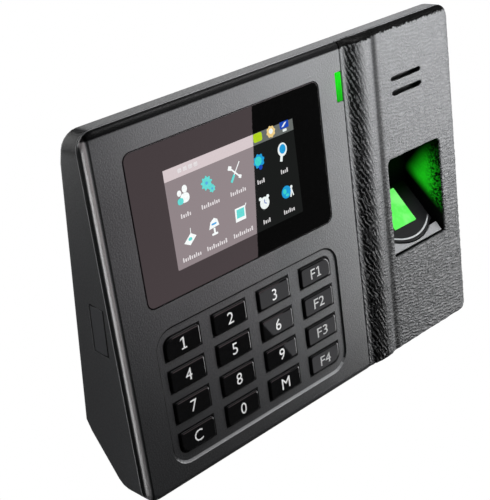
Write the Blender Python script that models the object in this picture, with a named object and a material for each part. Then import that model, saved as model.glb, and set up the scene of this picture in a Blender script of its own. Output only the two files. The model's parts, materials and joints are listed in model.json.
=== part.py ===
"""Fingerprint scanner terminal on its wall plate.

Numbers are millimetres (meshes are made in metres through MM). World frame: +Z up, the wall is the
plane y = 0, the terminal hangs in front of it towards -Y, origin in the middle of the wall plate's
back face. Terminal parts are modelled in the face frame: x right, y into the body from the front
face, z up along the face, origin in the middle of the front face. The face frame leans back by
TILT, so that the wedge-shaped rear casing lies flat against the wall.
"""

import math

import bmesh
import bpy
from mathutils import Vector

MM = 0.001

# Overall body
BODY_W = 185.0
BODY_H = 136.9
CORNER_R = 6.0
LOW_RIGHT_R = 3.2
EDGE_INSET = 2.9
EDGE_DEPTH = 1.7
FRONT_DEPTH = 2.5
REAR_START = 2.8
GAP = 0.3

# Rear casing side profile as (y, z) points of the face frame, top to bottom
REAR_TOP = (10.2, 68.45)
BACK_TOP = (14.0, 57.55)
BACK_LOW = (30.3, -42.25)
HEEL = (28.3, -46.45)
REAR_FOOT = (12.1, -68.45)
TILT = math.atan2(BACK_LOW[0] - BACK_TOP[0], BACK_TOP[1] - BACK_LOW[1])
REAR_WALL = 2.0
PLATE_WALL = 4.0
REAR_EDGE_R = 1.6

# Where the face frame stands in the world
WALL_GAP = 0.4
FACE_Z = -4.0
BACK_REACH = BACK_TOP[0] * math.cos(TILT) + BACK_TOP[1] * math.sin(TILT)
FACE_Y = -(BACK_REACH + WALL_GAP)

# Display window and display
WINDOW = (-32.25, 29.85, 91.3, 55.4)
WINDOW_R = 3.0
WINDOW_T = 1.5
DISPLAY_HOLE = (-32.2, 29.3, 64.8, 39.2)

# Keypad
PAD = (-32.2, -33.85, 91.8, 54.2)
PAD_R = 8.0
PAD_DEPTH = 0.65
PAD_SLOPE = 1.0
KEY_PITCH = (22.42, 12.48)
KEY_HOLE = (16.9, 8.9)
KEY_TOP = -0.1
KEY_FLANGE = (18.4, 10.2)
KEY_SMALL_R = 1.3
KEY_BIG_R = 3.7
KEY_NAMES = (
    ("key_1", "key_2", "key_3", "key_f1"),
    ("key_4", "key_5", "key_6", "key_f2"),
    ("key_7", "key_8", "key_9", "key_f3"),
    ("key_c", "key_0", "key_m", "key_f4"),
)

# Textured sensor cover
SEAM_X = 26.3
COVER_BACK = 1.75
COVER_SKIRT = 2.1
RIDGE = (
    (26.55, 0.0), (27.6, 0.2), (28.8, 0.42), (29.7, 0.3), (30.7, -0.2), (31.9, -0.85),
    (33.3, -1.35), (35.0, -1.62), (36.8, -1.68), (38.6, -1.5), (40.3, -1.05), (41.8, -0.4),
    (43.1, 0.3), (44.4, 0.72), (46.0, 0.8),
)
RIDGE_FLARE = 1.14
OPENING = (65.45, -6.5, 32.9, 42.1)
OPENING_R_TOP = 2.5
OPENING_R_LOW = 1.2
SLOT_X = 63.95
SLOT_Z = (46.25, 40.5)
SLOT_SIZE = (17.9, 1.8)

# Finger sensor, on a slope that rises away from the user
SENSOR_X = 65.4
SLOPE_TIP = (3.0, -25.5)
SLOPE = math.radians(43.0)
SENSOR_HALF = 14.6
SENSOR_NOSE_R = 21.9
SENSOR_NOSE_HALF = 12.7
GLASS_HALF = 7.2
GLASS_SPAN = (7.4, 24.6)

# Status light, screws, USB port
LIGHT = (24.45, 51.85, 2.9, 11.0)
SCREW_X = 84.0
SCREW_Z = (47.5, -51.5)
SCREW_SEAT = 9.0
USB_AT = (9.83, -1.25)
USB_LEAN = math.radians(5.93)
USB_FLAP = (7.6, 17.9)

# Wall plate
PLATE_W = 92.0
PLATE_H = 72.0
PLATE_T = 1.6
PLATE_RECESS = 2.2
HOOK_AT = ((-36.0, 24.0), (36.0, 24.0), (-36.0, -24.0), (36.0, -24.0))
HOOK_W = 8.0
LIFT = 6.0
TAMPER_AT = (16.0, 14.0)
LOCK_Y = -7.5

for old in list(bpy.data.objects):
    bpy.data.objects.remove(old, do_unlink=True)


def material(name, colour, roughness, metallic=0.0):
    made = bpy.data.materials.new(name)
    made.use_nodes = True
    shader = made.node_tree.nodes["Principled BSDF"]
    shader.inputs["Base Color"].default_value = (*colour, 1.0)
    shader.inputs["Roughness"].default_value = roughness
    shader.inputs["Metallic"].default_value = metallic
    return made


def frame(name, parent=None, location=(0, 0, 0), lean=0.0):
    """An empty that carries a local frame turned about x."""
    made = bpy.data.objects.new(name, None)
    bpy.context.scene.collection.objects.link(made)
    made.parent = parent
    made.location = Vector(location) * MM
    made.rotation_euler = (lean, 0, 0)
    return made


def tidy(mesh):
    """Joins doubled points and turns all faces outward."""
    work = bmesh.new()
    work.from_mesh(mesh)
    bmesh.ops.remove_doubles(work, verts=work.verts, dist=1e-7)
    bmesh.ops.recalc_face_normals(work, faces=work.faces)
    work.to_mesh(mesh)
    work.free()


def solid(name, shapes, surface=None, parent=None, origin=(0, 0, 0)):
    """One object from a list of (points, faces); origin is its own origin in the parent's frame."""
    points, faces = [], []
    for shape_points, shape_faces in shapes:
        start = len(points)
        points += [(Vector(p) - Vector(origin)) * MM for p in shape_points]
        faces += [[start + i for i in face] for face in shape_faces]
    mesh = bpy.data.meshes.new(name)
    mesh.from_pydata(points, [], faces)
    tidy(mesh)
    made = bpy.data.objects.new(name, mesh)
    bpy.context.scene.collection.objects.link(made)
    made.parent = parent
    made.location = Vector(origin) * MM
    if surface:
        mesh.materials.append(surface)
    return made


def cutter(name, shapes, parent=None):
    made = solid(name, shapes, None, parent)
    made.hide_render = True
    made.display_type = "WIRE"
    return made


def boolean(target, other, operation="DIFFERENCE"):
    made = target.modifiers.new(other.name, "BOOLEAN")
    made.operation = operation
    made.solver = "EXACT"
    made.object = other


def loft(rings):
    """Points and faces of a closed body through rings with equal point counts."""
    count = len(rings[0])
    points = [p for ring in rings for p in ring]
    faces = [list(range(count)), list(range(len(points) - count, len(points)))]
    for level in range(len(rings) - 1):
        low, high = level * count, (level + 1) * count
        for i in range(count):
            j = (i + 1) % count
            faces.append([low + i, low + j, high + j, high + i])
    return points, faces


def box(x0, x1, y0, y1, z0, z1):
    return loft([[(x0, y, z0), (x1, y, z0), (x1, y, z1), (x0, y, z1)] for y in (y0, y1)])


def outline(cx, cz, w, h, radii, steps=4):
    """Rounded rectangle, counterclockwise from bottom left; radii in that order or one number."""
    if not isinstance(radii, (tuple, list)):
        radii = (radii,) * 4
    signs = ((-1, -1), (1, -1), (1, 1), (-1, 1))
    found = []
    for corner, ((sx, sz), r) in enumerate(zip(signs, radii)):
        mx, mz = cx + sx * (w / 2 - r), cz + sz * (h / 2 - r)
        start = math.pi + corner * math.pi / 2
        for k in range(steps + 1):
            angle = start + k * math.pi / 2 / steps
            found.append((mx + r * math.cos(angle), mz + r * math.sin(angle)))
    return found


def plate(flat, y0, y1):
    """Extrudes an (x, z) outline along y."""
    return loft([[(x, y, z) for x, z in flat] for y in (y0, y1)])


def side_plate(flat, x0, x1):
    """Extrudes a (y, z) outline along x."""
    return loft([[(x, y, z) for y, z in flat] for x in (x0, x1)])


def lathe(axis, at, profile, steps=16):
    """Solid of revolution; profile is (distance along the axis, radius)."""
    rings = []
    for along, radius in profile:
        ring = []
        for k in range(steps):
            angle = 2 * math.pi * k / steps
            a, b = radius * math.cos(angle), radius * math.sin(angle)
            ring.append({"x": (along, at[0] + a, at[1] + b), "y": (at[0] + a, along, at[1] + b),
                         "z": (at[0] + a, at[1] + b, along)}[axis])
        rings.append(ring)
    return loft(rings)


def strip(path, x0, x1, thick):
    """Flat ribbon along a (y, z) path."""
    near, far = [], []
    for i, (y, z) in enumerate(path):
        a, b = path[max(i - 1, 0)], path[min(i + 1, len(path) - 1)]
        across = Vector((-(b[1] - a[1]), b[0] - a[0])).normalized() * (thick / 2)
        near.append((y + across.x, z + across.y))
        far.append((y - across.x, z - across.y))
    return side_plate(near + far[::-1], x0, x1)


def cable(path, radius, steps=6):
    """Round cable through a list of points."""
    rings = []
    for i, p in enumerate(path):
        along = Vector(path[min(i + 1, len(path) - 1)]) - Vector(path[max(i - 1, 0)])
        turn = along.to_track_quat("Z", "Y").to_matrix()
        rings.append([
            tuple(Vector(p) + turn @ Vector((radius * math.cos(2 * math.pi * k / steps),
                                             radius * math.sin(2 * math.pi * k / steps), 0)))
            for k in range(steps)
        ])
    return loft(rings)


def back_lines(offset_back, offset):
    """Lines y = c + m z that bound the rear profile, moved inward."""
    corners = (REAR_TOP, BACK_TOP, BACK_LOW, HEEL, REAR_FOOT)
    found = []
    for index, (a, b) in enumerate(zip(corners, corners[1:])):
        slope = (b[0] - a[0]) / (b[1] - a[1])
        shift = (offset_back if index == 1 else offset) * math.hypot(1, slope)
        found.append((a[0] - slope * a[1] - shift, slope))
    return found


def wedge(flat_at, front_y, lines, edge_r):
    """Body behind an outline whose back follows the profile lines; flat_at(inset) gives outlines."""
    def depth(z):
        return min(c + m * z for c, m in lines)

    crossings = [((q[0] - p[0]) / (p[1] - q[1]), p)
                 for i, p in enumerate(lines) for q in lines[i + 1:]]
    breaks = sorted((z for z, (c, m) in crossings if c + m * z < depth(z) + 1e-6), reverse=True)

    def with_breaks(flat):
        found = []
        for a, b in zip(flat, flat[1:] + flat[:1]):
            found.append(a)
            crossed = [t for t in breaks if min(a[1], b[1]) + 1e-6 < t < max(a[1], b[1]) - 1e-6]
            for t in sorted(crossed, reverse=b[1] < a[1]):
                part = (t - a[1]) / (b[1] - a[1])
                found.append((a[0] + part * (b[0] - a[0]), t))
        return found

    angles = (0, 30, 60, 90) if edge_r else (0,)
    rings = [[(x, front_y, z) for x, z in with_breaks(flat_at(0))]]
    for degrees in angles:
        turn = math.radians(degrees)
        flat = with_breaks(flat_at(edge_r * (1 - math.cos(turn))))
        rings.append([(x, depth(z) - edge_r * (1 - math.sin(turn)), z) for x, z in flat])
    points, faces = loft(rings)
    faces.pop(1)
    start = len(points) - len(rings[-1])
    levels = [1e3] + breaks + [-1e3]
    for high, low in zip(levels, levels[1:]):
        face = [start + i for i, p in enumerate(rings[-1]) if low - 1e-4 <= p[2] <= high + 1e-4]
        if len(face) > 2:
            faces.append(face)
    return points, faces


def on_slope(u, s, n=0.0):
    """Point of the face frame from slope coordinates: u across, s up the slope, n into the body."""
    y = SLOPE_TIP[0] + s * math.sin(SLOPE) + n * math.cos(SLOPE)
    z = SLOPE_TIP[1] + s * math.cos(SLOPE) - n * math.sin(SLOPE)
    return (SENSOR_X + u, y, z)


def slope_plate(flat, n0, n1):
    return loft([[on_slope(u, s, n) for u, s in flat] for n in (n0, n1)])


def nose(half, radius, nose_half, steps=10, low=0.0):
    """Lower D-shaped end of the sensor as (u, s) points, left to right."""
    found = []
    for k in range(steps + 1):
        u = -nose_half + 2 * nose_half * k / steps
        found.append((u, low + SENSOR_NOSE_R - math.sqrt(radius * radius - u * u)))
    rise = found[-1][1] + 0.9
    return [(-half, rise)] + found + [(half, rise)]


def body_outline(inset):
    radii = [r - inset * 0.8 for r in (CORNER_R, LOW_RIGHT_R, CORNER_R, CORNER_R)]
    return outline(0, 0, BODY_W - 2 * inset, BODY_H - 2 * inset, radii, 5)


def key_centre(row, column):
    return (PAD[0] + (column - 1.5) * KEY_PITCH[0], -33.5 + (1.5 - row) * KEY_PITCH[1])


def key_radii(row, column, small, big):
    """The four corner keys follow the rounded corners of the keypad."""
    radii = [small] * 4
    corner = {(3, 0): 0, (3, 3): 1, (0, 3): 2, (0, 0): 3}.get((row, column))
    if corner is not None:
        radii[corner] = big
    return radii


CHARCOAL = material("charcoal_plastic", (0.115, 0.115, 0.12), 0.5)
TEXTURED = material("textured_grey_plastic", (0.33, 0.33, 0.34), 0.6)
REAR = material("rear_plastic", (0.05, 0.05, 0.052), 0.55)
GLOSS_BLACK = material("gloss_black", (0.008, 0.008, 0.009), 0.08)
STEEL = material("zinc_plated_steel", (0.62, 0.63, 0.65), 0.35, 1.0)
BOARD = material("board_green", (0.02, 0.16, 0.07), 0.45)
SILICONE = material("grey_silicone", (0.3, 0.3, 0.31), 0.7)
BLACK = material("black_plastic", (0.02, 0.02, 0.022), 0.45)
LIT_GLASS = material("green_lit_glass", (0.1, 0.85, 0.15), 0.1)
GREEN_LENS = material("green_lens", (0.05, 0.75, 0.08), 0.25)
RUBBER = material("black_rubber", (0.03, 0.03, 0.032), 0.75)
PANEL = material("display_panel", (0.12, 0.13, 0.15), 0.3)
COPPER = material("amber_flex", (0.5, 0.24, 0.05), 0.4)
LABEL = material("silver_label", (0.7, 0.7, 0.7), 0.4)
GREEN_PLASTIC = material("green_terminal", (0.03, 0.3, 0.1), 0.5)
CABLE = material("cable_grey", (0.18, 0.18, 0.19), 0.6)

face = frame("face_frame", None, (0, FACE_Y, FACE_Z), -TILT)
usb = frame("usb_frame", face, (-BODY_W / 2, USB_AT[0], USB_AT[1]), USB_LEAN)


def edge_rings(flat_at, back_y, face_y):
    """Rings from the back rim round the bevelled front edge to the flat face."""
    rings = [[(x, back_y, z) for x, z in flat_at(0)]]
    for degrees in (0, 22.5, 45, 67.5, 90):
        turn = math.radians(degrees)
        flat = flat_at(EDGE_INSET * (1 - math.cos(turn)))
        rings.append([
            (x, EDGE_DEPTH + (face_y(x, z) - EDGE_DEPTH) * math.sin(turn), z) for x, z in flat
        ])
    return rings


def make_front_casing():
    casing = solid("front_casing", [loft(edge_rings(body_outline, FRONT_DEPTH, lambda x, z: 0.0))],
                   CHARCOAL, face)
    boolean(casing, cutter("cut_cover_zone", [box(SEAM_X - 0.25, 120, -5, 9, -90, 90)], face))
    shift = BODY_W / 2 - 2.4
    width = shift - 18.0
    carrier = plate(outline(18 + width / 2, 0, width, BODY_H - 4.8, 3.6), 2.05, 3.55)
    boolean(casing, cutter("add_carrier", [carrier], face), "UNION")
    posts = []
    for x, low in ((-SCREW_X, FRONT_DEPTH - 0.4), (SCREW_X, 3.1)):
        posts += [lathe("y", (x, z), [(low, 3.4), (7.0, 3.4)]) for z in SCREW_Z]
    boolean(casing, cutter("add_front_posts", posts, face), "UNION")

    rings = []
    for y, inset in ((-2, -0.2), (0.05, 0.0), (PAD_DEPTH, PAD_SLOPE)):
        flat = outline(PAD[0], PAD[1], PAD[2] - 2 * inset, PAD[3] - 2 * inset, PAD_R - inset, 6)
        rings.append([(x, y, z) for x, z in flat])
    pockets = [loft(rings)]
    cx, cz, w, h = WINDOW
    pockets.append(plate(outline(cx, cz, w + 0.6, h + 0.6, WINDOW_R + GAP, 5), -1, WINDOW_T + GAP))
    cx, cz, w, h = OPENING
    pockets.append(plate(outline(cx, cz, w + 3.8, h + 3.8, 4, 3), 1, 9))
    pockets.append(box(SLOT_X - 9.6, SLOT_X + 9.6, 1, 9, SLOT_Z[1] - 2.2, SLOT_Z[0] + 2.2))
    cx, cz, w, h = LIGHT
    pockets.append(box(cx - w / 2 - GAP, cx + w / 2 + 0.4, -1, 9, cz - h / 2 - GAP, cz + h / 2 + GAP))
    pockets += [lathe("y", (x, z), [(2.05 if x < 0 else 2.6, 1.6), (8, 1.6)], 12)
                for x in (-SCREW_X, SCREW_X) for z in SCREW_Z]
    boolean(casing, cutter("cut_front_pockets", pockets, face))

    cx, cz, w, h = DISPLAY_HOLE
    holes = [plate(outline(cx, cz, w, h, 1.0, 2), -3, 9)]
    for row in range(4):
        for column in range(4):
            kx, kz = key_centre(row, column)
            flat = outline(kx, kz, *KEY_HOLE, key_radii(row, column, KEY_SMALL_R, KEY_BIG_R), 3)
            holes.append(plate(flat, -3, 9))
    boolean(casing, cutter("cut_front_holes", holes, face))


def flared(x):
    """Where a point of the ridge's profile comes to stand at the top edge, as the ridge widens upward."""
    return RIDGE[0][0] + (x - RIDGE[0][0]) * RIDGE_FLARE


def cover_depth(x, z):
    """Depth of the textured cover's front: a rounded ridge beside a slightly sunken panel."""
    if z > 0:
        x = RIDGE[0][0] + (x - RIDGE[0][0]) / RIDGE_FLARE
    if x >= RIDGE[-1][0]:
        return RIDGE[-1][1]
    for (x0, y0), (x1, y1) in zip(RIDGE, RIDGE[1:]):
        if x <= x1:
            return y0 + (y1 - y0) * (x - x0) / (x1 - x0)
    return RIDGE[-1][1]


def make_sensor_cover():
    stations = [x for x, _ in RIDGE]
    left = stations[0]

    def flat_at(inset):
        half = BODY_H / 2 - inset
        corner = body_outline(inset)
        rounds = [(x, z) for x, z in corner if x > 0]
        low = [(x, -half) for x in stations]
        high = [(flared(x), half) for x in reversed(stations)]
        return low + [p for p in rounds if p[1] < 0] + [p for p in rounds if p[1] > 0] + high

    rings = edge_rings(flat_at, FRONT_DEPTH, cover_depth)
    count = len(rings[0])
    points, faces = loft(rings)
    faces = faces[2:]
    top = len(points) - count
    width = len(stations)
    for i in range(width - 1):
        faces.append([top + i, top + i + 1, top + count - 2 - i, top + count - 1 - i])
    faces.append([top + i for i in range(width - 1, count - width + 1)])
    faces.append(list(range(count)))
    cover = solid("sensor_cover", [(points, faces)], TEXTURED, face)
    inner = BODY_W / 2 - COVER_SKIRT
    flat = outline((left - 3 + inner) / 2, 0, inner - left + 3, BODY_H - 2 * COVER_SKIRT, 3.4)
    boolean(cover, cutter("cut_cover_pocket", [plate(flat, COVER_BACK, FRONT_DEPTH + 2)], face))
    cx, cz, w, h = OPENING
    radii = (OPENING_R_LOW, OPENING_R_LOW, OPENING_R_TOP, OPENING_R_TOP)
    holes = [plate(outline(cx, cz, w, h, radii), -4, 6)]
    for z in SLOT_Z:
        holes.append(plate(outline(SLOT_X, z, *SLOT_SIZE, SLOT_SIZE[1] / 2 - 0.01), -4, 6))
    boolean(cover, cutter("cut_cover_holes", holes, face))


def make_rear_casing():
    casing = solid("rear_casing", [wedge(body_outline, REAR_START, back_lines(0, 0), REAR_EDGE_R)],
                   REAR, face)
    inner = BODY_W / 2 - REAR_WALL
    half = BODY_H / 2 - REAR_WALL

    def zone(x0, x1, height):
        return lambda inset: outline((x0 + x1) / 2, 0, x1 - x0, height, 3.0, 3)

    # The right part reaches deeper, and is a little lower so that no faces of the two coincide.
    left = cutter("cut_cavity_left", [wedge(zone(-inner, 46.9, 2 * half), -5,
                                            back_lines(PLATE_WALL, REAR_WALL), 0)], face)
    right = cutter("cut_cavity_right", [wedge(zone(40.0, inner, 2 * half - 0.3), -4,
                                              back_lines(REAR_WALL, REAR_WALL + 0.2), 0)], face)
    for side, cavity in ((-1, left), (1, right)):
        posts = [lathe("y", (side * SCREW_X, z), [(7.3, 4.4), (40, 4.4)]) for z in SCREW_Z]
        boolean(cavity, cutter("keep_posts_" + cavity.name[-5:].strip("_"), posts, face))
    boolean(casing, left)
    boolean(casing, right)

    bores = [lathe("y", (x, z), [(6, 1.6), (SCREW_SEAT, 1.6), (SCREW_SEAT, 3.1), (40, 3.1)], 16)
             for x in (-SCREW_X, SCREW_X) for z in SCREW_Z]
    boolean(casing, cutter("cut_screw_bores", bores, face))
    fy, fz = USB_FLAP[0] / 2 + GAP, USB_FLAP[1] / 2 + GAP
    boolean(casing, cutter("cut_usb_port", [box(-3, 5, -fy, fy, -fz, fz)], usb))

    recess = [(-PLATE_W / 2 - 0.6, -PLATE_H / 2 - LIFT - 1.5), (-9, -PLATE_H / 2 - LIFT - 1.5),
              (-9, -75), (9, -75), (9, -PLATE_H / 2 - LIFT - 1.5),
              (PLATE_W / 2 + 0.6, -PLATE_H / 2 - LIFT - 1.5), (PLATE_W / 2 + 0.6, PLATE_H / 2 + 0.6),
              (-PLATE_W / 2 - 0.6, PLATE_H / 2 + 0.6)]
    sunk = [plate(recess, -PLATE_RECESS, 5), box(49.7, 80.3, -1.3, 5, -40.3, -13.7)]
    boolean(casing, cutter("cut_plate_recess", sunk))
    holes = [box(-26, 26, -20, 4, -26, -8), box(-66, -28, -20.6, -9.9, -90, -50)]
    holes += [box(x - HOOK_W / 2 - 0.5, x + HOOK_W / 2 + 0.5, -8, 4, z - 1.6 - LIFT, z + 1.3)
              for x, z in HOOK_AT]
    holes.append(lathe("y", TAMPER_AT, [(-8, 1.6), (4, 1.6)], 12))
    holes.append(lathe("z", (0, LOCK_Y), [(-70, 1.7), (-51, 1.7)], 12))
    boolean(casing, cutter("cut_rear_holes", holes))


def make_window_and_display():
    cx, cz, w, h = WINDOW
    rings = []
    for y, inset in ((0.02, 0.25), (0.27, 0.0), (WINDOW_T, 0.0)):
        flat = outline(cx, cz, w - 2 * inset, h - 2 * inset, WINDOW_R - inset, 5)
        rings.append([(x, y, z) for x, z in flat])
    solid("display_window", [loft(rings)], GLOSS_BLACK, face)
    cx, cz, w, h = DISPLAY_HOLE
    solid("lcd_panel", [plate(outline(cx, cz, 74, 46.4, 0.8, 1), 2.8, 5.2)], PANEL, face)
    solid("lcd_frame", [plate(outline(cx, cz, 77, 49.4, 0.8, 1), 5.5, 6.5)], STEEL, face)


def make_keys():
    for row, names in enumerate(KEY_NAMES):
        for column, name in enumerate(names):
            kx, kz = key_centre(row, column)
            rings = []
            for y, gap in ((KEY_TOP, 1.15), (KEY_TOP + 0.1, 0.75), (KEY_TOP + 0.5, GAP),
                           (2.8, GAP)):
                flat = outline(kx, kz, KEY_HOLE[0] - 2 * gap, KEY_HOLE[1] - 2 * gap,
                               key_radii(row, column, KEY_SMALL_R - gap / 2, KEY_BIG_R - gap / 2), 3)
                rings.append([(x, y, z) for x, z in flat])
            for y in (2.8, 3.4):
                radii = key_radii(row, column, 1.4, 3.9)
                rings.append([(x, y, z) for x, z in outline(kx, kz, *KEY_FLANGE, radii, 3)])
            for y in (3.4, 4.3):
                rings.append([(x, y, z) for x, z in outline(kx, kz, 4.4, 4.4, 0.8, 3)])
            solid(name, [loft(rings)], GLOSS_BLACK, face, (kx, KEY_TOP, kz))


def make_keypad_inside():
    cx, cz = PAD[0], PAD[1] + 0.35
    mat = solid("keypad_mat", [plate(outline(cx, cz, 90, 51.5, 1.0, 1), 6.3, 7.0)], SILICONE, face)
    domes = [lathe("y", key_centre(r, c), [(5.6, 2.2), (6.6, 3.6)], 8)
             for r in range(4) for c in range(4)]
    boolean(mat, cutter("add_domes", domes, face), "UNION")
    solid("key_board", [plate(outline(cx, cz, 90, 51.5, 1.0, 1), 7.3, 8.5)], BOARD, face)


def make_sensor():
    flat = nose(SENSOR_HALF, SENSOR_NOSE_R, SENSOR_NOSE_HALF) + [(SENSOR_HALF, 27), (-SENSOR_HALF, 27)]
    housing = solid("sensor_housing", [slope_plate(flat, 0, 26)], BLACK, face)
    boolean(housing, cutter("trim_housing_back", [box(0, 120, -4.4, 20, -90, 60)]))
    boolean(housing, cutter("trim_housing_floor", [box(0, 120, 0.5, 60, -90, -27.4)], face))
    g0, g1 = GLASS_SPAN
    pocket = [(-GLASS_HALF, g0), (GLASS_HALF, g0), (GLASS_HALF, g1), (-GLASS_HALF, g1)]
    boolean(housing, cutter("cut_glass_pocket", [slope_plate(pocket, -2, 1.5)], face))
    inner = GLASS_HALF - GAP
    glass = [(-inner, g0 + GAP), (inner, g0 + GAP), (inner, g1 - GAP), (-inner, g1 - GAP)]
    solid("sensor_glass", [slope_plate(glass, 0.1, 1.2)], LIT_GLASS, face)

    left, right = 49.2 - SENSOR_X, 81.0 - SENSOR_X
    ledge = [(left, -1.4), (right, -1.4), (right, 2.8)]
    notch = nose(SENSOR_HALF, SENSOR_NOSE_R + 0.6, SENSOR_NOSE_HALF, 10)
    arc = [p for p in notch[1:-1] if p[1] < 2.8]
    edge = math.sqrt((SENSOR_NOSE_R + 0.6) ** 2 - (SENSOR_NOSE_R - 2.8) ** 2)
    arc = [(-edge, 2.8)] + arc + [(edge, 2.8)]
    solid("finger_ledge", [slope_plate(ledge + arc[::-1] + [(left, 2.8)], 0, 1.5)], TEXTURED, face)

    cx, cz, w, h = OPENING
    well = solid("finger_well", [plate(outline(cx, cz, w + 3, h + 3, 3.4, 3), 2.05, 40)], TEXTURED, face)
    inside = plate(outline(cx, cz, w + 0.6, h + 0.6, (0.6, 0.6, 2.4, 2.4), 3), -1, 50)
    boolean(well, cutter("cut_well_inside", [inside], face))
    boolean(well, cutter("trim_well_back", [box(0, 120, -2.8, 60, -90, 60)]))
    solid("well_back", [box(49.4, 81.5, -4.0, -2.8, -28.0, 6.6)], BLACK)
    board = [box(50, 78, 10.0, 11.4, -58, -34)]
    solid("sensor_board", board, BOARD, face)


def make_status_light():
    cx, cz, w, h = LIGHT
    solid("status_light", [plate(outline(cx, cz, w, h, (0.8, 0.3, 0.3, 0.8), 2), -0.05, 5.2)],
          GREEN_LENS, face)


def make_usb_port():
    half_y, half_z = USB_FLAP[0] / 2, USB_FLAP[1] / 2
    flap = outline(0, 0, USB_FLAP[0], USB_FLAP[1], 1.1, 3)
    solid("usb_flap", [side_plate(flap, 0.0, 1.6)], RUBBER, usb, (0, half_y, 0))
    socket = solid("usb_socket", [box(2.3, 14.2, -2.85, 2.85, -6.6, 6.6)], STEEL, usb)
    boolean(socket, cutter("cut_usb_mouth", [box(1, 12, -2.35, 2.35, -6.1, 6.1)], usb))
    solid("usb_board", [box(2.6, 14.0, 3.2, 4.6, -half_z, half_z)], BOARD, usb)


def make_wall_plate():
    flat = outline(0, 0, PLATE_W, PLATE_H, 4.0, 3)
    tongue = [(-8, -PLATE_H / 2), (-8, -64.0), (8, -64.0), (8, -PLATE_H / 2)]
    low = [p for p in flat if p[1] < 0]
    high = [p for p in flat if p[1] > 0]
    middle = len([p for p in low if p[0] < 0])
    metal = solid("wall_plate", [plate(low[:middle] + tongue + low[middle:] + high, -PLATE_T, 0)], STEEL)
    tab = [box(-8, 8, -10.2, -PLATE_T + 0.4, -64.0, -62.4)]
    boolean(metal, cutter("add_lock_tab", tab), "UNION")
    hooks = []
    for x, z in HOOK_AT:
        side = [(-PLATE_T + 0.4, z - 1), (-PLATE_T + 0.4, z + 1), (-4.8, z + 1), (-4.8, z + 5.5),
                (-6.4, z + 5.5), (-6.4, z - 1)]
        hooks.append(side_plate(side, x - HOOK_W / 2, x + HOOK_W / 2))
    boolean(metal, cutter("add_hooks", hooks), "UNION")
    holes = [plate(outline(0, -17, 56, 20, 3, 2), -3, 3)]
    for x, z in ((-24, 24), (24, 24), (-38, 0), (38, 0)):
        holes.append(plate(outline(x, z, 4.6, 8.6, 2.28, 4), -3, 3))
    holes.append(lathe("z", (0, LOCK_Y), [(-66, 1.6), (-60, 1.6)], 12))
    boolean(metal, cutter("cut_plate_holes", holes))


def make_screws():
    number = 1
    for z in SCREW_Z:
        for x in (-SCREW_X, SCREW_X):
            shape = [(3.0, 1.2), (SCREW_SEAT + GAP, 1.2), (SCREW_SEAT + GAP, 2.6), (11.0, 2.6),
                     (11.4, 2.2)]
            solid("case_screw_%d" % number, [lathe("y", (x, z), shape, 12)], STEEL, face)
            number += 1
    shape = [(-66.4, 2.2), (-66.0, 2.6), (-64.3, 2.6), (-64.3, 1.2), (-53, 1.2)]
    solid("lock_screw", [lathe("z", (0, LOCK_Y), shape, 12)], STEEL)


def make_main_board():
    solid("main_board", [box(-76, 40, -9.4, -7.8, -44, 28)], BOARD)
    jack = solid("ethernet_jack", [box(-64, -48, -20.4, -9.7, -57.0, -42)], STEEL)
    boolean(jack, cutter("cut_jack_mouth", [box(-62, -50, -18.6, -11.6, -60, -46)]))
    power = solid("power_jack", [box(-40, -31, -19.5, -9.7, -56.5, -43)], BLACK)
    boolean(power, cutter("cut_power_mouth", [lathe("z", (-35.5, -14.6), [(-60, 2.8), (-47, 2.8)], 12)]))
    block = solid("terminal_block", [box(-20, 12, -7.5, -2.7, -24, -13)], GREEN_PLASTIC)
    wires = [box(-18 + 5 * k, -15 + 5 * k, -6.4, -4.0, -26, -19) for k in range(6)]
    boolean(block, cutter("cut_wire_entries", wires))
    solid("backup_battery", [lathe("y", (24, -4), [(-12.9, 9.6), (-12.5, 10), (-9.7, 10)], 20)], STEEL)
    solid("relay", [box(-10, 8, -17.4, -9.7, -40, -27)], BLACK)
    switch = solid("tamper_switch", [box(TAMPER_AT[0] - 4, TAMPER_AT[0] + 4, -7.5, -4.8,
                                         TAMPER_AT[1] - 4, TAMPER_AT[1] + 4)], BLACK)
    boolean(switch, cutter("cut_switch_bore", [lathe("y", TAMPER_AT, [(-8.5, 1.6), (-4, 1.6)], 12)]))
    x, z = TAMPER_AT
    solid("tamper_plunger", [lathe("y", (x, z), [(-6.2, 1.2), (-2.3, 1.2), (-2.0, 0.9)], 12)],
          RUBBER, None, (x, -6.2, z))
    solid("rating_label", [plate(outline(65, -27, 30, 26, 1.0, 2), -1.0, -0.6)], LABEL)


def make_speaker_and_cables():
    middle = (SLOT_X, (SLOT_Z[0] + SLOT_Z[1]) / 2)
    solid("speaker", [lathe("y", middle, [(4.0, 9.6), (4.4, 10), (7.0, 10), (7.0, 6), (8.4, 6)], 24)],
          BLACK, face)
    solid("lcd_ribbon", [strip([(7.1, 14), (7.1, 5), (8.6, 2), (11.6, 0.4), (13.9, -1.0)], -42, -22, 0.35)],
          COPPER, face)
    solid("key_ribbon", [strip([(9.1, -17), (10.4, -14.2), (13.2, -13.0), (16.2, -13.4)], -4, 8, 0.35)],
          COPPER, face)
    solid("sensor_cable", [cable([(52, 12.6, -42), (47, 13.4, -38), (40, 14.6, -32), (34, 17.4, -28)], 0.8)],
          CABLE, face)
    solid("speaker_cable", [cable([(57, 9.4, 34), (50, 9.2, 29), (42, 8.4, 26), (35, 8.6, 24)], 0.7)],
          CABLE, face)


make_front_casing()
make_sensor_cover()
make_rear_casing()
make_window_and_display()
make_keys()
make_keypad_inside()
make_sensor()
make_status_light()
make_usb_port()
make_wall_plate()
make_screws()
make_main_board()
make_speaker_and_cables()
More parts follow.
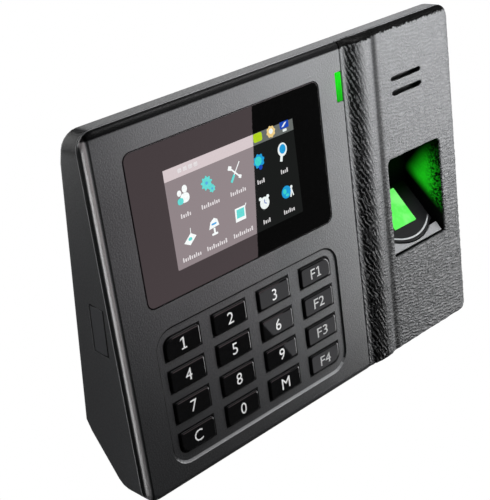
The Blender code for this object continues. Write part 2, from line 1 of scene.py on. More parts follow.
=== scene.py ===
"""Looks of the fingerprint terminal: materials, legends, the lit screen, the grained cover, stage.

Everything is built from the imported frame. Measures are millimetres in the terminal's face frame:
x to the right, y into the body from the front face, z up along the face, origin in the middle of
the front face. Meshes are written in world metres, like the CAD nodes.
"""
import json
import math

import bmesh
import bpy
import numpy as np
from mathutils import Matrix, Vector, noise


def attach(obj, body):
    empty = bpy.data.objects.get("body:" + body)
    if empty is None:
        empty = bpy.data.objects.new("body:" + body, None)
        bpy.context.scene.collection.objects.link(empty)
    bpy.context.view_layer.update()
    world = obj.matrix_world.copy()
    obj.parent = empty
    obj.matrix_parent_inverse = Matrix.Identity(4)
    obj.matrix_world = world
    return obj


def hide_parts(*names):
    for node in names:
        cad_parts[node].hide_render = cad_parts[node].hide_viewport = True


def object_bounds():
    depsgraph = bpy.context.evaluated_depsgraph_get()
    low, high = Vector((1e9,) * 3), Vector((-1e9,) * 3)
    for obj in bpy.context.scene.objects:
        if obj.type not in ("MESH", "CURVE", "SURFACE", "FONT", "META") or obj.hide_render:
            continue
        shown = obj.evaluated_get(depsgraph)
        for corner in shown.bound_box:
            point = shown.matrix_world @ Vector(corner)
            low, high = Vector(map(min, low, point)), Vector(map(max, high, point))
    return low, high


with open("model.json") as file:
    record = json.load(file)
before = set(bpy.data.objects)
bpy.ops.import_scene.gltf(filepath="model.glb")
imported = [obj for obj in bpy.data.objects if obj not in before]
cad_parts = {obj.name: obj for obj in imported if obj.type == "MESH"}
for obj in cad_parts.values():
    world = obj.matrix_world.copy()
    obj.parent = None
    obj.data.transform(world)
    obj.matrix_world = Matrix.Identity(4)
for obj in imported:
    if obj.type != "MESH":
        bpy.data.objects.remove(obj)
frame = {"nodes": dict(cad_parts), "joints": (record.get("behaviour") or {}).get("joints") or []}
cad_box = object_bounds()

MM = 0.001
BODY = "terminal"
GRAIN_CELL = 0.4  # cell of the grained cover's mesh
GRAIN_DEPTH = 0.34  # height of the grain modelled in that mesh
GRAIN_BUMP = 1.4  # height of the finer creases in its material
GRAIN_PITCH = 1.55  # distance between those creases
KEY_FLANGE_MARGIN = 0.55  # how far a key's flange reaches past its cap
KEY_BIG_R = 3.7  # outer corner radius of the whole key group
USB_LEAN = math.radians(5.93)  # lean of the USB cover's long sides
LENS_ROUGHNESS = 0.015  # polish of the window over the lit screen
BLACK = (0, 0, 0, 1)
LIT_PLASTIC = "68696b"  # the casing where most light falls on it

# ---------------------------------------------------------------- the face frame, from the record

press = next(j for j in frame["joints"] if j["name"] == "key_1_press")
INWARD = Vector(press["axis"]).normalized()
RIGHT = Vector((1, 0, 0))
UPWARD = RIGHT.cross(INWARD).normalized()
TURN = Matrix((RIGHT, INWARD, UPWARD)).transposed()


def node_points(name):
    """The vertices of a node, in world metres."""
    mesh = frame["nodes"][name].data
    flat = np.zeros(len(mesh.vertices) * 3, np.float32)
    mesh.vertices.foreach_get("co", flat)
    return flat.reshape(-1, 3).astype(float)


def span_along(name, axis):
    """Least and greatest reach of a node along a world direction, in metres."""
    values = node_points(name) @ np.array(axis)
    return values.min(), values.max()


_low, _high = span_along("rear_casing", UPWARD)
_front = span_along("front_casing", INWARD)[0]
ORIGIN = INWARD * _front + UPWARD * (_low + _high) / 2


def to_world(x, y, z):
    """The world point, in metres, of a face-frame point in mm."""
    return ORIGIN + TURN @ Vector((x, y, z)) * MM


def face_box(name):
    """Lowest and highest corner of a node in the face frame, in mm."""
    local = (node_points(name) - np.array(ORIGIN)) @ np.array(TURN) / MM
    return local.min(axis=0), local.max(axis=0)


# ---------------------------------------------------------------- shader helpers

def linear(hexa):
    """An sRGB colour written as six hex digits, as linear RGBA."""
    values = [int(hexa[i:i + 2], 16) / 255 for i in (0, 2, 4)]
    return tuple(v / 12.92 if v <= 0.04045 else ((v + 0.055) / 1.055) ** 2.4 for v in values) + (1.0,)


def shaded(hexa, factor):
    """The linear colour of six hex digits, scaled."""
    return tuple(c * factor for c in linear(hexa)[:3]) + (1,)


class Shader:
    """A material with short ways to add and wire nodes. Coordinates are face-frame millimetres."""

    def __init__(self, name):
        self.material = bpy.data.materials.new(name)
        self.material.use_nodes = True
        self.tree = self.material.node_tree
        self.base = self.tree.nodes["Principled BSDF"]
        self._place = None

    def node(self, kind, props=None, **inputs):
        made = self.tree.nodes.new(kind)
        for key, value in (props or {}).items():
            setattr(made, key, value)
        for key, value in inputs.items():
            self.put(made, key.replace("_", " "), value)
        return made

    def put(self, node, key, value):
        socket = node.inputs[int(key[1:])] if key[0] == "i" and key[1:].isdigit() else node.inputs[key]
        if isinstance(value, bpy.types.NodeSocket):
            self.tree.links.new(value, socket)
        else:
            socket.default_value = value
        return socket

    def set(self, **inputs):
        for key, value in inputs.items():
            self.put(self.base, key.replace("_", " "), value)
        return self

    def place(self):
        """The shading point in the face frame, in mm."""
        if self._place is None:
            coords = self.node("ShaderNodeTexCoord")
            mapping = self.node("ShaderNodeMapping", {"vector_type": "TEXTURE"},
                                Vector=coords.outputs["Object"], Location=ORIGIN,
                                Rotation=TURN.to_euler(), Scale=(MM, MM, MM))
            self._place = mapping.outputs["Vector"]
        return self._place

    def axis(self, which):
        return self.node("ShaderNodeSeparateXYZ", Vector=self.place()).outputs[which]

    def dot(self, a, b):
        return self.node("ShaderNodeVectorMath", {"operation": "DOT_PRODUCT"}, i0=a,
                         i1=b).outputs["Value"]

    def facing(self, direction):
        """How far the surface faces a world direction, -1 to 1."""
        return self.dot(self.node("ShaderNodeNewGeometry").outputs["True Normal"], direction)

    def band(self, value, low, high, soft=0.08):
        """1 between low and high, fading out over soft on both sides."""
        return self.times(self.ramp(value, low - soft, low),
                          self.ramp(value, high, high + soft, 1.0, 0.0))

    def blend(self, share, a, b):
        """a where share is 0, b where it is 1."""
        return self.plus(self.times(self.minus(1.0, share), a), self.times(share, b))

    def maths(self, operation, a, b=0.5):
        return self.node("ShaderNodeMath", {"operation": operation}, i0=a, i1=b).outputs[0]

    def times(self, first, *rest):
        for factor in rest:
            first = self.maths("MULTIPLY", first, factor)
        return first

    def plus(self, a, b):
        return self.maths("ADD", a, b)

    def minus(self, a, b):
        return self.maths("SUBTRACT", a, b)

    def over(self, a, b):
        return self.maths("DIVIDE", a, b)

    def most(self, first, *rest):
        for other in rest:
            first = self.maths("MAXIMUM", first, other)
        return first

    def ramp(self, value, low, high, out_low=0.0, out_high=1.0, kind="SMOOTHSTEP"):
        return self.node("ShaderNodeMapRange", {"interpolation_type": kind}, Value=value,
                         From_Min=low, From_Max=high, To_Min=out_low, To_Max=out_high).outputs["Result"]

    def noise(self, scale, detail=3.0, rough=0.5, vector=None):
        return self.node("ShaderNodeTexNoise", Vector=vector or self.place(), Scale=scale,
                         Detail=detail, Roughness=rough).outputs["Fac"]

    def mix(self, factor, a, b):
        """a where the factor is 0, b where it is 1."""
        made = self.node("ShaderNodeMix", {"data_type": "RGBA"})
        self.put(made, "i0", factor)
        self.put(made, "i6", a)
        self.put(made, "i7", b)
        return made.outputs[2]

    def bump(self, height, distance, strength=1.0, normal=None):
        made = self.node("ShaderNodeBump", Height=height, Distance=distance, Strength=strength)
        if normal is not None:
            self.put(made, "Normal", normal)
        return made.outputs["Normal"]

    def show(self, surface):
        """Puts a shader node in the place of the principled one."""
        self.put(self.tree.nodes["Material Output"], "Surface", surface.outputs[0])


def upper_chamfer(s, ragged=0.0):
    """1 on the bevel along the top edge, which gets painted shade."""
    height = s.axis(2)
    if ragged:
        height = s.plus(height, s.times(s.noise(0.9, 2.0), ragged))
        height = s.minus(height, ragged / 2)
    inside = s.ramp(height, TOP_EDGE - 3.0, TOP_EDGE - 2.3)
    return s.times(inside, s.ramp(s.axis(1), 1.55, 1.95, 1.0, 0.0))


def inside_pad(s):
    """1 over the keypad's recess."""
    first, last = face_box("key_1"), face_box("key_f4")
    return s.times(s.band(s.axis(0), first[0][0] - 4, last[1][0] + 4, 0.5),
                   s.band(s.axis(2), last[0][2] - 4, first[1][2] + 4, 0.5))


def key_gaps(s):
    """1 in the narrow shaded gaps round the keys, which share one outline with large corners."""
    first, last = face_box("key_1"), face_box("key_f4")
    mask = s.ramp(s.axis(1), 0.5, 0.6)
    squares = []
    for axis in (0, 2):
        middles = [(box[0][axis] + box[1][axis]) / 2 for box in (first, last)]
        pitch = abs(middles[1] - middles[0]) / 3
        half = (first[1][axis] - first[0][axis]) / 2 - KEY_FLANGE_MARGIN
        turns = s.over(s.minus(s.axis(axis), middles[0]), pitch)
        off = s.minus(s.maths("FRACT", s.plus(turns, 0.5)), 0.5)
        mask = s.times(mask, s.band(off, -half / pitch, half / pitch, 0.2 / pitch))
        from_middle = s.maths("ABSOLUTE", s.minus(s.axis(axis), sum(middles) / 2))
        past = s.minus(from_middle, 1.5 * pitch + half - KEY_BIG_R)
        past = s.most(past, 0.0)
        squares.append(s.times(past, past))
    reach = s.maths("SQRT", s.plus(*squares))
    return s.times(mask, s.ramp(reach, KEY_BIG_R, KEY_BIG_R + 0.25, 1.0, 0.0))


def face_marks(s, tone, specular):
    """Painted light and shade of the front casing's face: grading, an edge highlight and deep shade;
    returns its tone, specular level and the mask of the painted edge highlight.
    """
    x, y, z = s.axis(0), s.axis(1), s.axis(2)
    side = -BODY_WIDTH / 2
    before_side = s.ramp(y, 1.6, 2.0, 1.0, 0.0)

    # Painted light fall-off: darker at the lower left and at the seam's foot, lighter along the top and
    # beside the seam
    corner = s.plus(z, s.times(x, 0.35))
    foot_end = s.times(s.ramp(z, -60.0, 0.0, 0.4, 0.0), s.ramp(x, 5.0, 25.0))
    along_top = s.times(s.ramp(z, 36.0, 61.0), s.ramp(x, -5.0, 32.0, 0.62, 0.25),
                        s.ramp(x, side, side + 30.0, 0.3, 1.0))
    near_seam = s.times(s.ramp(z, -20.0, 25.0), s.ramp(x, -8.0, 18.0, 0.0, 0.32))
    tone = s.mix(s.ramp(corner, -85.0, 0.0, 0.5, 0.0), tone, BLACK)
    tone = s.mix(foot_end, tone, BLACK)
    tone = s.mix(s.most(along_top, near_seam), tone, linear(LIT_PLASTIC))

    # A painted highlight along the rolled left edge, between two bands of painted shade
    edge_highlight = s.times(s.band(x, side + 0.85, side + 1.8, 0.55), before_side,
                   s.ramp(z, -66.0, 50.0, 0.3, 1.0))
    edge_shade = s.times(s.band(x, side + 2.65, side + 3.2, 0.3), before_side)
    edge_shade = s.times(s.most(edge_shade, s.ramp(x, side + 0.2, side + 0.75, 1.0, 0.0)), 0.8)
    tone = s.mix(s.times(edge_highlight, 0.85), tone, linear("bdb7b9"))
    tone = s.mix(edge_shade, tone, BLACK)

    # The recess of the keypad: a painted highlight on its lower lip and painted shade on its upper wall
    up = s.facing(UPWARD)
    lip = s.times(s.band(y, 0.05, 0.6), s.ramp(up, 0.2, 0.5), inside_pad(s))
    wall = s.times(s.band(y, 0.12, 0.5), s.ramp(up, 0.15, 0.4, 0.85, 0.0), inside_pad(s))
    tone = s.mix(s.times(lip, 0.6), tone, linear("9d9ea0"))

    # Deep shade there, in the key gaps, round the window and on the top bevel
    low, high = face_box("display_window")
    rebate = s.times(s.band(x, low[0] - 0.6, high[0] + 0.6, 0.1),
                     s.band(z, low[2] - 0.6, high[2] + 0.6, 0.1), s.ramp(y, 0.02, 0.09, 0.0, 0.5))
    shade = s.most(upper_chamfer(s), wall, s.times(key_gaps(s), 0.9), rebate)
    tone = s.mix(s.times(shade, 0.96), tone, BLACK)
    return tone, s.ramp(s.most(shade, edge_shade), 0.0, 1.0, specular, 0.03), edge_highlight


def grained(name, colour, roughness, grain=1.7, depth=0.03, tint=0.12, specular=0.5, face=False):
    """Spark-textured moulded plastic: fine grain in colour, roughness and bump."""
    s = Shader(name)
    fine = s.noise(grain, 2.0, 0.6)
    broad = s.noise(0.035, 2.0)
    light = shaded(colour, 1 + tint)
    tone = s.mix(s.ramp(fine, 0.3, 0.7), shaded(colour, 1 - tint), light)
    tone = s.mix(s.ramp(broad, 0.3, 0.7, 0.0, 0.35), tone, light)
    rough = s.ramp(fine, 0.3, 0.7, roughness + 0.06, roughness - 0.06)
    # On the front face: painted light and shade, and less roughness along the painted edge highlight
    if face:
        tone, specular, edge_highlight = face_marks(s, tone, specular)
        rough = s.minus(rough, s.times(edge_highlight, 0.16))
    s.set(Base_Color=tone, Roughness=rough, Specular_IOR_Level=specular,
          Normal=s.bump(fine, depth * MM))
    return s


def glossy(name, colour, roughness, smudge):
    """Polished plastic with faint orange peel and handling haze."""
    s = Shader(name)
    haze = s.noise(0.09, 4.0, 0.55)
    peel = s.noise(0.5, 1.0)
    s.set(Base_Color=s.mix(s.ramp(haze, 0.35, 0.7), linear(colour), shaded(colour, 1.25)),
          Roughness=s.ramp(haze, 0.35, 0.75, roughness, roughness + smudge),
          Normal=s.bump(peel, 0.0012 * MM, 0.5))
    return s


def metal(name, colour, roughness, brushed=(0.05, 4.0, 4.0)):
    """Metal with faint blotches and fine lines that run along its least brushed axis."""
    s = Shader(name)
    stretched = s.node("ShaderNodeVectorMath", {"operation": "MULTIPLY"}, i0=s.place(),
                       i1=brushed).outputs[0]
    lines = s.noise(1.2, 3.0, 0.6, vector=stretched)
    blotch = s.noise(0.12, 3.0)
    s.set(Base_Color=s.mix(s.ramp(blotch, 0.3, 0.7), linear(colour), shaded(colour, 0.8)),
          Metallic=1.0, Roughness=s.ramp(lines, 0.3, 0.7, roughness - 0.07, roughness + 0.1),
          Normal=s.bump(lines, 0.01 * MM, 0.6))
    return s


def rubber(name, colour, roughness=0.62):
    """Soft matte rubber with a fine speckle."""
    s = Shader(name)
    speck = s.noise(2.6, 3.0, 0.7)
    s.set(Base_Color=s.mix(s.ramp(speck, 0.35, 0.7), linear(colour), shaded(colour, 1.3)),
          Roughness=roughness, Specular_IOR_Level=0.35, Normal=s.bump(speck, 0.02 * MM))
    return s


def flap_skin(name, colour):
    """The soft USB cover, with painted shade along its leaning rim for the gap round it."""
    s = Shader(name)
    low, high = face_box("usb_flap")
    middle = [(low[i] + high[i]) / 2 for i in range(3)]
    lean = s.times(s.minus(s.axis(2), middle[2]), math.tan(USB_LEAN))
    depth = s.plus(s.minus(s.axis(1), middle[1]), lean)
    half_z = (high[2] - low[2]) / 2 - 0.4
    half_y = (high[1] - low[1]) / 2 - half_z * math.tan(USB_LEAN) - 0.4
    inside = s.times(s.band(depth, -half_y, half_y, 0.2),
                     s.band(s.axis(2), middle[2] - half_z, middle[2] + half_z, 0.2))
    speck = s.noise(2.6, 3.0, 0.7)
    tone = s.mix(s.ramp(speck, 0.35, 0.7), linear(colour), shaded(colour, 1.3))
    # Near black outside the inner area: the painted shade along the rim
    s.set(Base_Color=s.mix(inside, (0.001, 0.001, 0.001, 1), tone), Roughness=0.5,
          Specular_IOR_Level=s.ramp(inside, 0.0, 1.0, 0.05, 0.35), Normal=s.bump(speck, 0.02 * MM))
    return s


def board_lacquer(name):
    """Solder mask with darker copper runs beneath it."""
    s = Shader(name)
    runs = s.node("ShaderNodeTexBrick", {"offset": 0.35, "squash": 1.6}, Vector=s.place(), Scale=0.16,
                  Mortar_Size=0.03, Mortar_Smooth=0.2, Color1=linear("0f5a34"), Color2=linear("0c4c2c"),
                  Mortar=linear("2c8a56"))
    speck = s.noise(1.1, 3.0)
    s.set(Base_Color=s.mix(s.ramp(speck, 0.4, 0.7, 0, 0.4), runs.outputs["Color"], linear("0a3d24")),
          Roughness=0.32, Normal=s.bump(runs.outputs["Fac"], 0.02 * MM))
    return s


def glowing(name, colour, strength, shade="000000", gloss=0.5):
    """A lit area of the screen: its own light, with the lens's gloss over it."""
    s = Shader(name)
    cells = s.noise(1.3, 2.0)
    tone = s.mix(s.ramp(cells, 0.3, 0.7), shaded(colour, 0.88), linear(colour))
    s.set(Base_Color=linear(shade), Emission_Color=tone, Emission_Strength=strength,
          Roughness=LENS_ROUGHNESS, Specular_IOR_Level=gloss)
    return s


# ---------------------------------------------------------------- mesh helpers

def linked(name, data):
    """A new object in the scene."""
    made = bpy.data.objects.new(name, data)
    bpy.context.scene.collection.objects.link(made)
    return made


def piece(name, points, faces, shader, body=BODY, slot=None, smooth=False):
    """A mesh piece from face-frame points in mm, riding on a body."""
    mesh = bpy.data.meshes.new(name)
    mesh.from_pydata([to_world(*p) for p in points], [], faces)
    work = bmesh.new()
    work.from_mesh(mesh)
    bmesh.ops.remove_doubles(work, verts=work.verts, dist=1e-7)
    bmesh.ops.recalc_face_normals(work, faces=work.faces)
    work.to_mesh(mesh)
    work.free()
    mesh.materials.append(shader.material)
    made = linked(name, mesh)
    if smooth:
        mesh.polygons.foreach_set("use_smooth", [True] * len(mesh.polygons))
    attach(made, body)
    return made


def sheet(shapes, y0, y1):
    """Thin closed plates from (x, z) outlines: points and faces."""
    points, faces = [], []
    for shape in shapes:
        start, count = len(points), len(shape)
        points += [(x, y0, z) for x, z in shape] + [(x, y1, z) for x, z in shape]
        faces.append([start + i for i in range(count)])
        faces.append([start + count + i for i in reversed(range(count))])
        for i in range(count):
            j = (i + 1) % count
            faces.append([start + i, start + j, start + count + j, start + count + i])
    return points, faces


def rounded(cx, cz, w, h, r, steps=4):
    """A rectangle with rounded corners, as (x, z) points."""
    r = min(r, w / 2 - 1e-3, h / 2 - 1e-3)
    out = []
    for sx, sz, start in ((1, 1, 0), (-1, 1, 90), (-1, -1, 180), (1, -1, 270)):
        for i in range(steps + 1):
            a = math.radians(start + 90 * i / steps)
            out.append((cx + sx * (w / 2 - r) + r * math.cos(a),
                        cz + sz * (h / 2 - r) + r * math.sin(a)))
    return out


def disc(cx, cz, r, count=20, squash=1.0):
    """A circle, or an oval where squash isn't 1."""
    turns = [2 * math.pi * i / count for i in range(count)]
    return [(cx + r * math.cos(a), cz + squash * r * math.sin(a)) for a in turns]


def cog(cx, cz, r, teeth, depth=0.22):
    """A toothed wheel. The depth of its teeth is a share of the radius."""
    out = []
    for i in range(teeth * 4):
        a = 2 * math.pi * (i + 0.5) / (teeth * 4)
        reach = r if i % 4 in (0, 1) else r * (1 - depth)
        out.append((cx + reach * math.cos(a), cz + reach * math.sin(a)))
    return out


def bar(x0, z0, x1, z1, width):
    """A straight stroke with square ends."""
    along = Vector((x1 - x0, z1 - z0)).normalized()
    side = Vector((-along.y, along.x)) * width / 2
    return [(x0 - side.x, z0 - side.y), (x1 - side.x, z1 - side.y),
            (x1 + side.x, z1 + side.y), (x0 + side.x, z0 + side.y)]


def figure_one(cx, cz, height):
    """A figure one with a flag and a foot, as one outline."""
    points = [(-0.26, -0.5), (0.26, -0.5), (0.26, -0.385), (0.08, -0.385), (0.08, 0.5), (-0.06, 0.5),
              (-0.28, 0.4), (-0.28, 0.28), (-0.07, 0.35), (-0.07, -0.385), (-0.26, -0.385)]
    return [(cx + x * height, cz + z * height) for x, z in points]


def legend(name, text, cx, cz, height, width, y0, y1, shader, body, slot):
    """A printed character group, made from the built-in typeface, centred and scaled to size."""
    curve = bpy.data.curves.new(name + "_outline", "FONT")
    curve.body = text
    curve.extrude = 0.5
    curve.resolution_u = 4
    carrier = linked(name + "_outline", curve)
    mesh = bpy.data.meshes.new_from_object(carrier)
    points = np.array([v.co for v in mesh.vertices])
    faces = [list(p.vertices) for p in mesh.polygons]
    bpy.data.objects.remove(carrier, do_unlink=True)
    bpy.data.curves.remove(curve)
    bpy.data.meshes.remove(mesh)
    low, high = points.min(axis=0), points.max(axis=0)
    tall = height / (high[1] - low[1])
    wide = width / (high[0] - low[0]) if width else tall
    placed = [(cx + (p[0] - (low[0] + high[0]) / 2) * wide,
               y0 if p[2] > 0 else y1,
               cz + (p[1] - (low[1] + high[1]) / 2) * tall) for p in points]
    return piece(name, placed, faces, shader, body, slot)


# ---------------------------------------------------------------- materials for the CAD nodes

TOP_EDGE = face_box("rear_casing")[1][2]
BODY_WIDTH = 2 * face_box("rear_casing")[1][0]
PLASTIC = "3a3b3d"
front_plastic = grained("front_plastic_look", PLASTIC, 0.42, grain=1.5, depth=0.1, tint=0.4, face=True)


def rear_shell():
    """The rear casing: the casing's plastic, with a painted highlight along its front rim and painted
    shade on its upper left corner.
    """
    s = grained("rear_plastic_look", "303133", 0.44, depth=0.035)
    leftward = s.ramp(s.facing(-RIGHT), 0.25, 0.6)
    # A painted highlight on the front rim and painted shade on the upper left corner
    rim = s.times(s.band(s.axis(1), 2.7, 3.05, 0.1), leftward)
    corner = s.times(s.ramp(s.axis(2), TOP_EDGE - 9.0, TOP_EDGE - 4.0),
                     s.ramp(s.axis(0), 4.0 - BODY_WIDTH / 2, 9.0 - BODY_WIDTH / 2, 0.75, 0.0))
    tone = s.mix(corner, s.base.inputs["Base Color"].links[0].from_socket, BLACK)
    s.set(Base_Color=s.mix(s.times(rim, 0.8), tone, linear("8b8c8e")),
          Specular_IOR_Level=s.ramp(corner, 0.0, 0.75, 0.5, 0.12))
    return s


rear_plastic = rear_shell()
black_plastic = grained("black_plastic_look", "151517", 0.4, depth=0.02)
terminal_plastic = grained("terminal_block_look", "2b6a3c", 0.4, depth=0.02)
silicone = rubber("keypad_mat_look", "2a2a2c")
flap_rubber = flap_skin("usb_flap_look", "2f3033")
cable_skin = rubber("cable_look", "1c1c1e", 0.4)
flex_film = glossy("flex_look", "8a5418", 0.25, 0.1)
steel = metal("plate_steel_look", "b4b7ba", 0.34)
screw_steel = metal("screw_look", "8f9296", 0.3, (1.0, 1.0, 1.0))
plated = metal("plated_look", "c9c4b4", 0.24, (0.4, 2.0, 2.0))
board = board_lacquer("board_look")
lcd_dark = glossy("panel_look", "0c0d12", 0.1, 0.05)


def paper(name):
    """A blank printed label."""
    s = Shader(name)
    fibre = s.noise(1.6, 3.0)
    s.set(Base_Color=s.mix(s.ramp(fibre, 0.3, 0.7), linear("c9cacb"), linear("d8d9d8")),
          Roughness=0.4, Normal=s.bump(fibre, 0.008 * MM))
    return s


SEAM = face_box("sensor_cover")[0][0]
FLARE = 0.14  # share by which the ridge widens from its foot to its head
BODY_HEIGHT = 2 * TOP_EDGE


def leather_look():
    """The grained cover: charcoal plastic with leather grain, with painted shade along its ridge and
    painted light and shade over its creases and face.
    """
    s = Shader("cover_look")
    x, y, z = s.axis(0), s.axis(1), s.axis(2)
    fine = s.noise(2.4, 3.0, 0.65)
    cloudy = s.noise(0.05, 2.0)

    def upwards(at_foot, at_head):
        return s.ramp(z, -BODY_HEIGHT / 2, BODY_HEIGHT / 2, at_foot, at_head, "LINEAR")

    # Painted shade on the ridge's dark flank and in the valley on its other side, measured across the
    # flaring ridge
    ridge_x = s.plus(SEAM, s.over(s.minus(x, SEAM), upwards(1.0, 1.0 + FLARE)))
    flank = s.times(s.ramp(ridge_x, 26.9, 30.0),
                    s.ramp(s.minus(ridge_x, upwards(3.6, 0.0)), 31.5, 37.5, 1.0, 0.0))
    valley_x = s.minus(ridge_x, upwards(1.9, 0.0))
    valley = s.times(s.ramp(valley_x, 39.8, 42.8), s.ramp(valley_x, 43.9, 46.6, 1.0, 0.0))

    # Wavy creases that lie level on the panel and lean over on the flank
    swing = s.times(s.minus(s.noise(0.24, 1.0), 0.5), 10.0)
    ripple = s.times(s.minus(s.noise(0.5, 1.0), 0.5), 4.2)
    wander = s.plus(swing, ripple)

    def lying(along, across, length, scale):
        spread = s.node("ShaderNodeCombineXYZ", X=s.times(along, length), Y=0.0,
                        Z=s.plus(across, wander)).outputs[0]
        loose = s.noise(scale, 2.0, 0.5, vector=spread)
        phase = s.plus(s.times(across, 2 * math.pi / GRAIN_PITCH),
                       s.times(s.noise(0.42, 1.0, 0.5, vector=spread), 15.0))
        waves = s.plus(0.5, s.times(s.maths("SINE", phase), 0.16))
        return s.plus(s.times(loose, 0.45), s.times(waves, 0.55))

    lean_along = s.minus(s.times(x, 0.42), z)
    lean_across = s.plus(s.times(z, 0.42), s.times(x, 0.9))
    creases = s.blend(s.ramp(ridge_x, 35.0, 39.0, 1.0, 0.0),
                      lying(x, s.plus(z, s.times(x, 0.1)), 0.55, 0.85),
                      lying(lean_along, lean_across, 0.36, 1.3))
    streaks = s.ramp(lying(lean_along, lean_across, 0.24, 1.7), 0.5, 0.6)
    level = s.ramp(z, -40.0, 60.0, 1.1, 0.28, "LINEAR")
    crest = s.ramp(creases, 0.5, 0.6)
    furrow = s.ramp(creases, 0.4, 0.49, 1.0, 0.0)

    tone = s.mix(s.ramp(fine, 0.3, 0.7), linear("3a3b3d"), linear("444547"))
    # Painted light on the creases' crests and painted shade in their furrows, stronger towards the foot
    tone = s.mix(s.times(crest, level, 0.75), tone, linear("5c5d5f"))
    tone = s.mix(s.times(furrow, level, 0.7), tone, linear("17181a"))
    tone = s.mix(s.ramp(cloudy, 0.3, 0.7, 0.0, 0.2), tone, linear("38393b"))
    # Painted light grading: darker towards the foot, lighter towards the head
    tone = s.mix(s.ramp(z, -50.0, 5.0, 0.3, 0.0), tone, BLACK)
    tone = s.mix(s.ramp(z, -25.0, 25.0, 0.0, 0.45), tone, linear(LIT_PLASTIC))

    # Painted shade behind the speaker slots, on the flank, in the valley and on the top bevel
    slot_x, slot_z = speaker_slots()
    behind = s.times(s.ramp(y, 0.97, 1.03), s.band(x, *slot_x, 1.0), s.band(z, *slot_z, 1.0))
    shade = s.most(s.times(flank, s.minus(0.97, s.times(streaks, 0.6))), s.times(valley, 0.75),
                   upper_chamfer(s, 2.6), behind)
    tone = s.mix(shade, tone, (0.0015, 0.0015, 0.0015, 1))
    relief = s.bump(s.times(creases, s.times(level, GRAIN_BUMP)), MM)
    s.set(Base_Color=tone, Roughness=s.ramp(crest, 0.2, 0.8, 0.52, 0.4),
          Specular_IOR_Level=s.ramp(shade, 0.0, 1.0, 0.5, 0.02),
          Normal=s.bump(fine, 0.02 * MM, 1.0, relief))
    return s


def speaker_slots():
    """x and z ranges that hold the slots in front of the speaker."""
    low, high = face_box("speaker")
    middle = (low[2] + high[2]) / 2
    return (low[0], high[0]), (middle - 5.5, middle + 5.5)


SLOPE_TIP = (3.0, -25.5)  # y and z of the lower end of the sensor's slope
SLOPE = math.radians(43.0)  # how steeply it climbs into the body
NOSE_RADIUS = 21.9  # of the sensor housing's rounded lower end


def well_look():
    """Inside of the finger opening: black, with the sensor's green light painted as a glow on its right
    wall.
    """
    s = Shader("finger_well_look")
    x, y, z = s.axis(0), s.axis(1), s.axis(2)
    grain = s.noise(1.1, 3.0, 0.6)
    right_wall = s.ramp(x, 79.0, 81.2)
    # Heights above and lengths along the sensor's slope, which shades the wall below it
    tip_y, tip_z = SLOPE_TIP
    rise, run = math.sin(SLOPE), math.cos(SLOPE)
    dy, dz = s.minus(y, tip_y), s.minus(z, tip_z)
    above = s.minus(s.times(dz, run), s.times(dy, rise))
    along = s.plus(s.times(dz, rise), s.times(dy, run))
    pool = s.times(s.ramp(above, 4.0, 9.5), s.ramp(above, 13.0, 30.0, 1.0, 0.12),
                   s.ramp(along, 20.0, 30.5, 1.0, 0.0), s.ramp(y, 2.0, 8.5, 0.35, 1.0),
                   s.ramp(z, 5.0, 14.0, 1.0, 0.25))
    mottle = s.ramp(y, 4.0, 11.0, 1.0, 0.1)
    speck = s.ramp(grain, 0.42, 0.6)
    level = s.times(pool, right_wall, s.minus(1.0, s.times(mottle, s.minus(1.0, speck))))
    s.set(Base_Color=linear("050506"), Roughness=0.6, Specular_IOR_Level=0.12,
          Emission_Color=linear("18b418"), Emission_Strength=level, Normal=s.bump(grain, 0.06 * MM))
    return s


def glass_look():
    """The lit sensor glass."""
    s = Shader("sensor_glass_look")
    patch = s.noise(0.16, 3.0)
    tone = s.mix(s.ramp(patch, 0.35, 0.65), linear("5cf558"), linear("86ff80"))
    s.set(Base_Color=linear("1c3a1c"), Emission_Color=tone, Emission_Strength=0.95, Roughness=0.3,
          Specular_IOR_Level=0.1)
    return s


def light_look():
    """The status light: brighter at the top than at its foot."""
    s = Shader("status_light_look")
    low, high = face_box("status_light")
    level = s.ramp(s.axis(2), low[2] + 0.5, high[2] - 2, 0.0, 1.0)
    grain = s.noise(0.9, 2.0)
    tone = s.mix(level, linear("08b80a"), linear("14ee12"))
    s.set(Base_Color=linear("010801"), Emission_Color=tone,
          Emission_Strength=s.ramp(grain, 0.3, 0.7, 0.85, 0.95), Roughness=0.5, Specular_IOR_Level=0.02)
    return s


def housing_shader():
    """The sensor's black bezel, with a glossier raised rim round its rounded nose that carries a painted
    highlight.
    """
    s = Shader("sensor_housing_look")
    low, high = face_box("sensor_housing")
    tip_y, tip_z = SLOPE_TIP
    dy, dz = s.minus(s.axis(1), tip_y), s.minus(s.axis(2), tip_z)
    up_slope = s.plus(s.times(dz, math.sin(SLOPE)), s.times(dy, math.cos(SLOPE)))
    across = s.minus(s.axis(0), (low[0] + high[0]) / 2)
    back = s.minus(up_slope, NOSE_RADIUS)
    reach = s.maths("SQRT", s.plus(s.times(across, across), s.times(back, back)))
    # The rim's light tone is a painted highlight; its higher specular level and bump are the rim's own
    bead_highlight = s.times(s.band(reach, NOSE_RADIUS - 1.75, NOSE_RADIUS - 1.25, 0.2),
                   s.ramp(up_slope, 5.0, 7.5, 1.0, 0.0))
    fine = s.noise(2.2, 2.0, 0.6)
    tone = s.mix(s.ramp(fine, 0.3, 0.7), linear("08080a"), linear("0d0d0f"))
    s.set(Base_Color=s.mix(bead_highlight, tone, linear("8a8c8e")), Roughness=0.4,
          Specular_IOR_Level=s.ramp(bead_highlight, 0.0, 1.0, 0.15, 0.6),
          Normal=s.bump(s.plus(bead_highlight, s.times(fine, 0.08)), 0.15 * MM))
    return s


